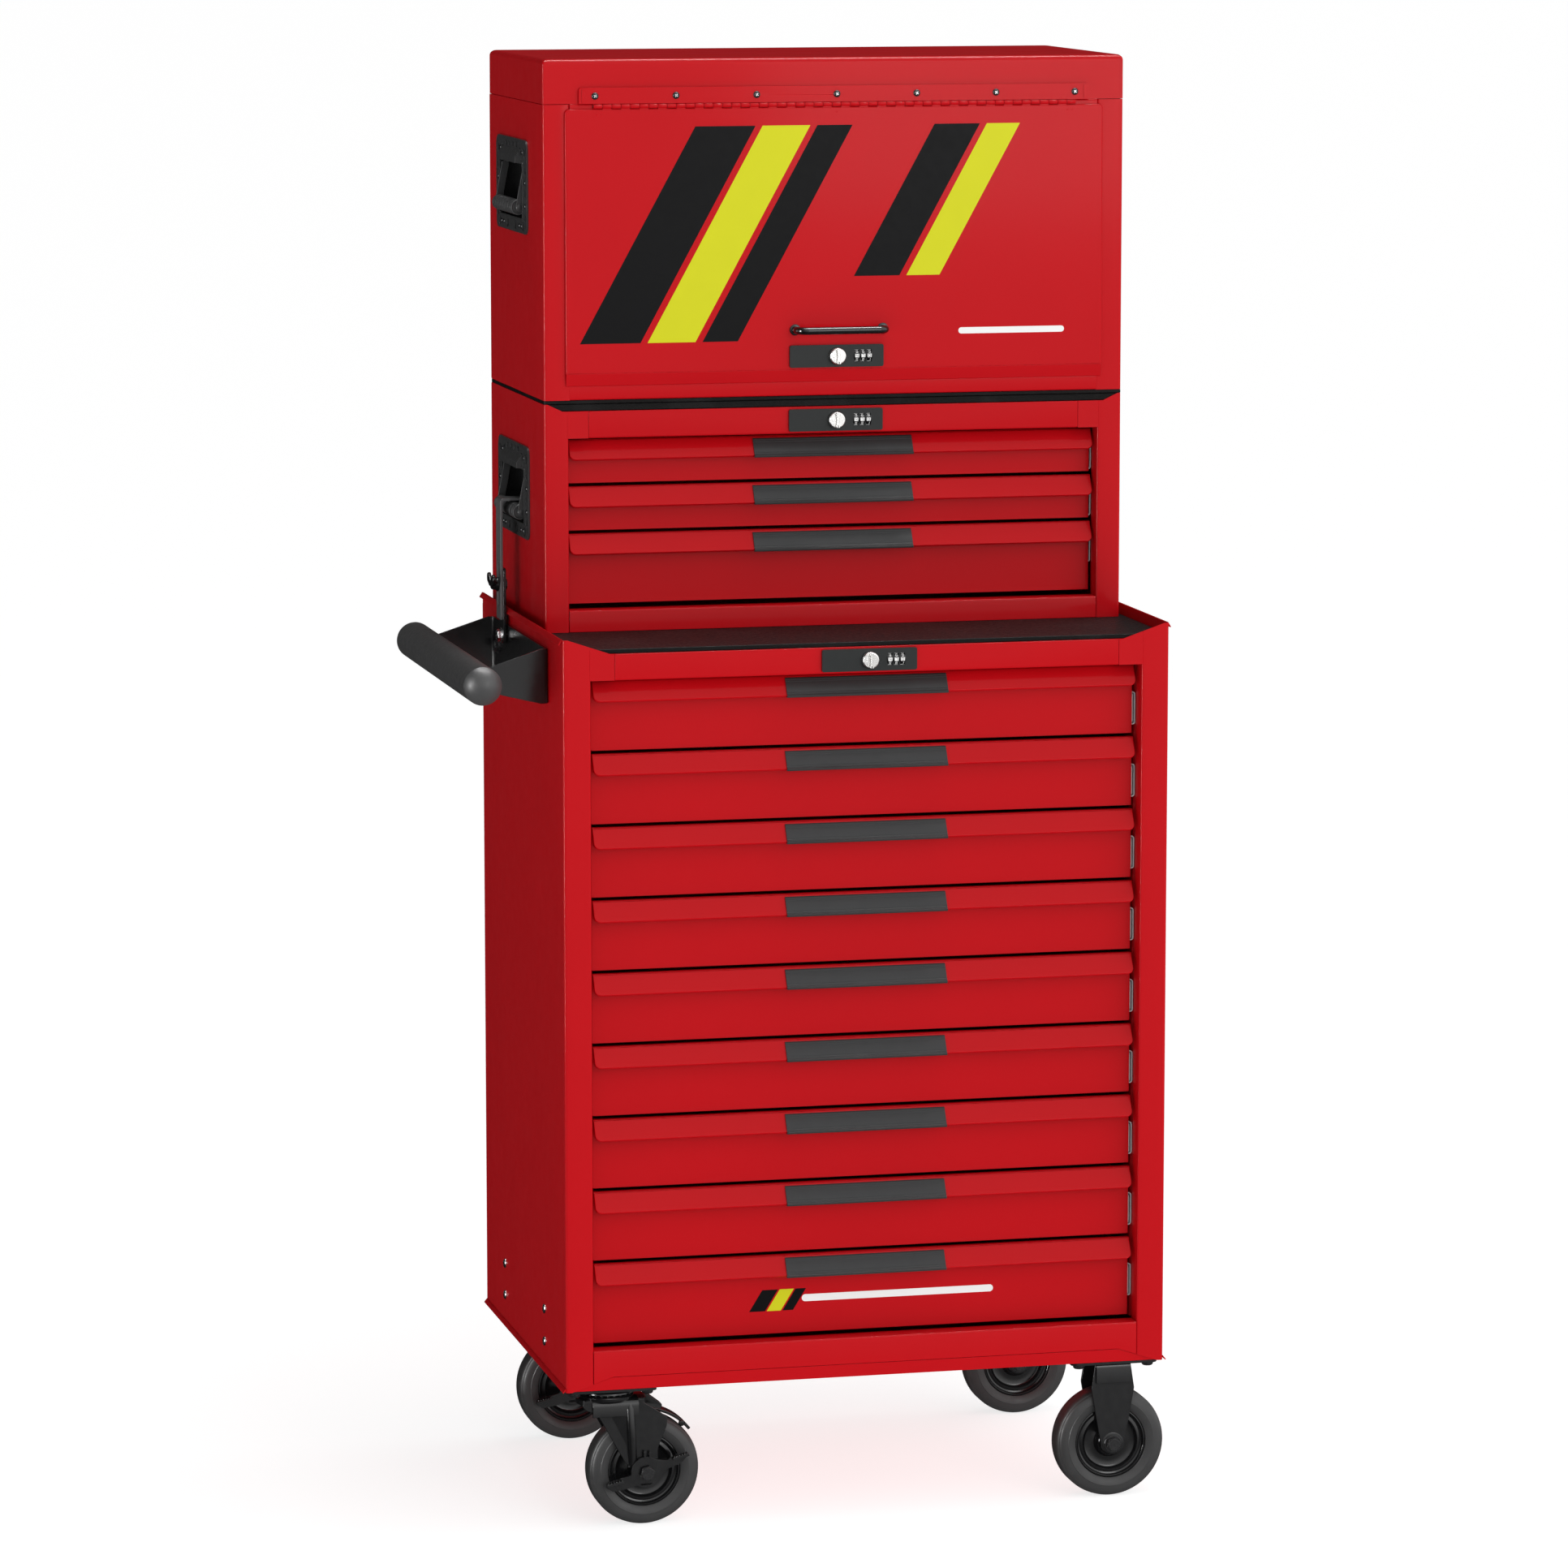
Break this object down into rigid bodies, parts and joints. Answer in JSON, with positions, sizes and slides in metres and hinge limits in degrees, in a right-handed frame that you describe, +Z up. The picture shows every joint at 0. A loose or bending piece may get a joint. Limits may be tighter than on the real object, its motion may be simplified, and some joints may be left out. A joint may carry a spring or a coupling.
{
  "type": "rolling tool chest",
  "caption": "Red three-tier rolling tool chest: roller cabinet of slide-out drawers, drawer box, top box with lid and drop front, side push handle, braked swivel castors.",
  "frame": {"origin": "on the floor, under the centre of the bounding box of the closed chest", "axes": "+Z up, -Y out of the drawer fronts, +X to the viewer's right when facing the drawers; the push handle is on the -X side"},
  "size_m": [0.7965, 0.4804, 1.6127],
  "materials": {
    "red_paint": "satin powder coat",
    "black_steel": "satin",
    "rubber_mat": "pebbled",
    "zinc": "zinc plated",
    "grip_sleeve": "fine texture",
    "drawer_grip": "matt",
    "lock_black": "satin",
    "nickel": "satin nickel",
    "fastener_black": "black",
    "tyre": "matt"
  },
  "bodies": {
    "chest": {"cabinet_shell": "red_paint", "middle_box_shell": "red_paint", "top_box_shell": "red_paint", "top_mats": "rubber_mat", "fixed_drawer_slides": "zinc", "push_handle_bracket": "black_steel", "push_handle_grip": "grip_sleeve", "side_handle_plates": "black_steel", "lock_plates": "lock_black", "castor_frames": "black_steel", "fasteners": "fastener_black"},
    "lid": {"lid": "red_paint", "flap_hinge": "red_paint"},
    "flap": {"front_flap": "red_paint", "flap_pull": "black_steel", "flap_lock_plate": "lock_black"},
    "knob_cabinet": {"knob_cabinet": "nickel"},
    "knob_middle": {"knob_middle": "nickel"},
    "knob_flap": {"knob_flap": "nickel"},
    "wheels_cabinet_lock": {"wheels_cabinet_lock": "lock_black"},
    "wheels_middle_lock": {"wheels_middle_lock": "lock_black"},
    "wheels_flap_lock": {"wheels_flap_lock": "lock_black"},
    "bail_middle_left": {"bail_middle_left": "black_steel"},
    "bail_top_left": {"bail_top_left": "black_steel"},
    "bail_middle_right": {"bail_middle_right": "black_steel"},
    "bail_top_right": {"bail_top_right": "black_steel"},
    "fork_front": {"swivel_fork_front": "black_steel"},
    "fork_rear": {"swivel_fork_rear": "black_steel"},
    "wheel_front_left": {"wheel_front_left": "tyre"},
    "wheel_rear_left": {"wheel_rear_left": "tyre"},
    "wheel_front_right": {"wheel_front_right": "tyre"},
    "wheel_rear_right": {"wheel_rear_right": "tyre"},
    "brake_front": {"brake_lever_front": "black_steel"},
    "brake_rear": {"brake_lever_rear": "black_steel"},
    "securing_bar": {"securing_bar": "black_steel"},
    "wing_bolt": {"wing_bolt": "black_steel"},
    "drawer_c1": {"drawer_c1": "red_paint", "grip_c1": "drawer_grip"},
    "drawer_c2": {"drawer_c2": "red_paint", "grip_c2": "drawer_grip"},
    "drawer_c3": {"drawer_c3": "red_paint", "grip_c3": "drawer_grip"},
    "drawer_c4": {"drawer_c4": "red_paint", "grip_c4": "drawer_grip"},
    "drawer_c5": {"drawer_c5": "red_paint", "grip_c5": "drawer_grip"},
    "drawer_c6": {"drawer_c6": "red_paint", "grip_c6": "drawer_grip"},
    "drawer_c7": {"drawer_c7": "red_paint", "grip_c7": "drawer_grip"},
    "drawer_c8": {"drawer_c8": "red_paint", "grip_c8": "drawer_grip"},
    "drawer_c9": {"drawer_c9": "red_paint", "grip_c9": "drawer_grip"},
    "drawer_m1": {"drawer_m1": "red_paint", "grip_m1": "drawer_grip"},
    "drawer_m2": {"drawer_m2": "red_paint", "grip_m2": "drawer_grip"},
    "drawer_m3": {"drawer_m3": "red_paint", "grip_m3": "drawer_grip"}
  },
  "joints": [
    {"name": "drawer_c1_slide", "type": "slide", "parent": "chest", "child": "drawer_c1", "axis": [0, -1, 0], "range_m": [0, 0.3]},
    {"name": "drawer_c2_slide", "type": "slide", "parent": "chest", "child": "drawer_c2", "axis": [0, -1, 0], "range_m": [0, 0.3]},
    {"name": "drawer_c3_slide", "type": "slide", "parent": "chest", "child": "drawer_c3", "axis": [0, -1, 0], "range_m": [0, 0.3]},
    {"name": "drawer_c4_slide", "type": "slide", "parent": "chest", "child": "drawer_c4", "axis": [0, -1, 0], "range_m": [0, 0.3]},
    {"name": "drawer_c5_slide", "type": "slide", "parent": "chest", "child": "drawer_c5", "axis": [0, -1, 0], "range_m": [0, 0.3]},
    {"name": "drawer_c6_slide", "type": "slide", "parent": "chest", "child": "drawer_c6", "axis": [0, -1, 0], "range_m": [0, 0.3]},
    {"name": "drawer_c7_slide", "type": "slide", "parent": "chest", "child": "drawer_c7", "axis": [0, -1, 0], "range_m": [0, 0.3]},
    {"name": "drawer_c8_slide", "type": "slide", "parent": "chest", "child": "drawer_c8", "axis": [0, -1, 0], "range_m": [0, 0.3]},
    {"name": "drawer_c9_slide", "type": "slide", "parent": "chest", "child": "drawer_c9", "axis": [0, -1, 0], "range_m": [0, 0.3]},
    {"name": "drawer_m1_slide", "type": "slide", "parent": "chest", "child": "drawer_m1", "axis": [0, -1, 0], "range_m": [0, 0.19]},
    {"name": "drawer_m2_slide", "type": "slide", "parent": "chest", "child": "drawer_m2", "axis": [0, -1, 0], "range_m": [0, 0.19]},
    {"name": "drawer_m3_slide", "type": "slide", "parent": "chest", "child": "drawer_m3", "axis": [0, -1, 0], "range_m": [0, 0.19]},
    {"name": "lid_hinge", "type": "hinge", "parent": "chest", "child": "lid", "pos_m": [0.04825, 0.2372, 1.5635], "axis": [-1, 0, 0], "range_deg": [0, 80]},
    {"name": "flap_hinge", "type": "hinge", "parent": "lid", "child": "flap", "pos_m": [0.04825, -0.0739, 1.561], "axis": [-1, 0, 0], "range_deg": [0, 140]},
    {"name": "knob_cabinet_turn", "type": "hinge", "parent": "chest", "child": "knob_cabinet", "pos_m": [0.04825, -0.2322, 0.9626], "axis": [0, -1, 0], "range_deg": [0, 90]},
    {"name": "number_cabinet_turn", "type": "hinge", "parent": "chest", "child": "wheels_cabinet_lock", "pos_m": [0.07825, -0.2232, 0.9626], "axis": [1, 0, 0], "continuous": true},
    {"name": "knob_middle_turn", "type": "hinge", "parent": "chest", "child": "knob_middle", "pos_m": [0.04825, -0.0772, 1.212], "axis": [0, -1, 0], "range_deg": [0, 90]},
    {"name": "number_middle_turn", "type": "hinge", "parent": "chest", "child": "wheels_middle_lock", "pos_m": [0.07825, -0.0682, 1.212], "axis": [1, 0, 0], "continuous": true},
    {"name": "knob_flap_turn", "type": "hinge", "parent": "flap", "child": "knob_flap", "pos_m": [0.04825, -0.0808, 1.2832], "axis": [0, -1, 0], "range_deg": [0, 90]},
    {"name": "number_flap_turn", "type": "hinge", "parent": "flap", "child": "wheels_flap_lock", "pos_m": [0.07825, -0.0718, 1.2832], "axis": [1, 0, 0], "continuous": true},
    {"name": "bail_middle_left_swing", "type": "hinge", "parent": "chest", "child": "bail_middle_left", "pos_m": [-0.27875, 0.0978, 1.148], "axis": [0, 1, 0], "range_deg": [0, 3]},
    {"name": "bail_top_left_swing", "type": "hinge", "parent": "chest", "child": "bail_top_left", "pos_m": [-0.27875, 0.0978, 1.4882], "axis": [0, 1, 0], "range_deg": [0, 90]},
    {"name": "bail_middle_right_swing", "type": "hinge", "parent": "chest", "child": "bail_middle_right", "pos_m": [0.37525, 0.0978, 1.148], "axis": [0, -1, 0], "range_deg": [0, 90]},
    {"name": "bail_top_right_swing", "type": "hinge", "parent": "chest", "child": "bail_top_right", "pos_m": [0.37525, 0.0978, 1.4882], "axis": [0, -1, 0], "range_deg": [0, 90]},
    {"name": "securing_bar_lift", "type": "slide", "parent": "chest", "child": "securing_bar", "axis": [0, 0, 1], "range_m": [0, 0.02]},
    {"name": "wing_bolt_turn", "type": "hinge", "parent": "chest", "child": "wing_bolt", "pos_m": [-0.30375, 0.0818, 1.02], "axis": [-1, 0, 0], "continuous": true},
    {"name": "swivel_front", "type": "hinge", "parent": "chest", "child": "fork_front", "pos_m": [-0.24175, -0.1912, 0.149], "axis": [0, 0, 1], "continuous": true},
    {"name": "roll_front_left", "type": "hinge", "parent": "fork_front", "child": "wheel_front_left", "pos_m": [-0.20175, -0.1912, 0.0625], "axis": [0, 1, 0], "continuous": true},
    {"name": "roll_front_right", "type": "hinge", "parent": "chest", "child": "wheel_front_right", "pos_m": [0.33575, -0.1912, 0.0625], "axis": [0, 1, 0], "continuous": true},
    {"name": "brake_front_press", "type": "hinge", "parent": "fork_front", "child": "brake_front", "pos_m": [-0.20175, -0.2192, 0.0625], "axis": [0, 1, 0], "range_deg": [0, 12]},
    {"name": "swivel_rear", "type": "hinge", "parent": "chest", "child": "fork_rear", "pos_m": [-0.24175, 0.2038, 0.149], "axis": [0, 0, 1], "continuous": true},
    {"name": "roll_rear_left", "type": "hinge", "parent": "fork_rear", "child": "wheel_rear_left", "pos_m": [-0.20175, 0.2038, 0.0625], "axis": [0, 1, 0], "continuous": true},
    {"name": "roll_rear_right", "type": "hinge", "parent": "chest", "child": "wheel_rear_right", "pos_m": [0.33575, 0.2038, 0.0625], "axis": [0, 1, 0], "continuous": true},
    {"name": "brake_rear_press", "type": "hinge", "parent": "fork_rear", "child": "brake_rear", "pos_m": [-0.20175, 0.1758, 0.0625], "axis": [0, 1, 0], "range_deg": [0, 12]}
  ]
}
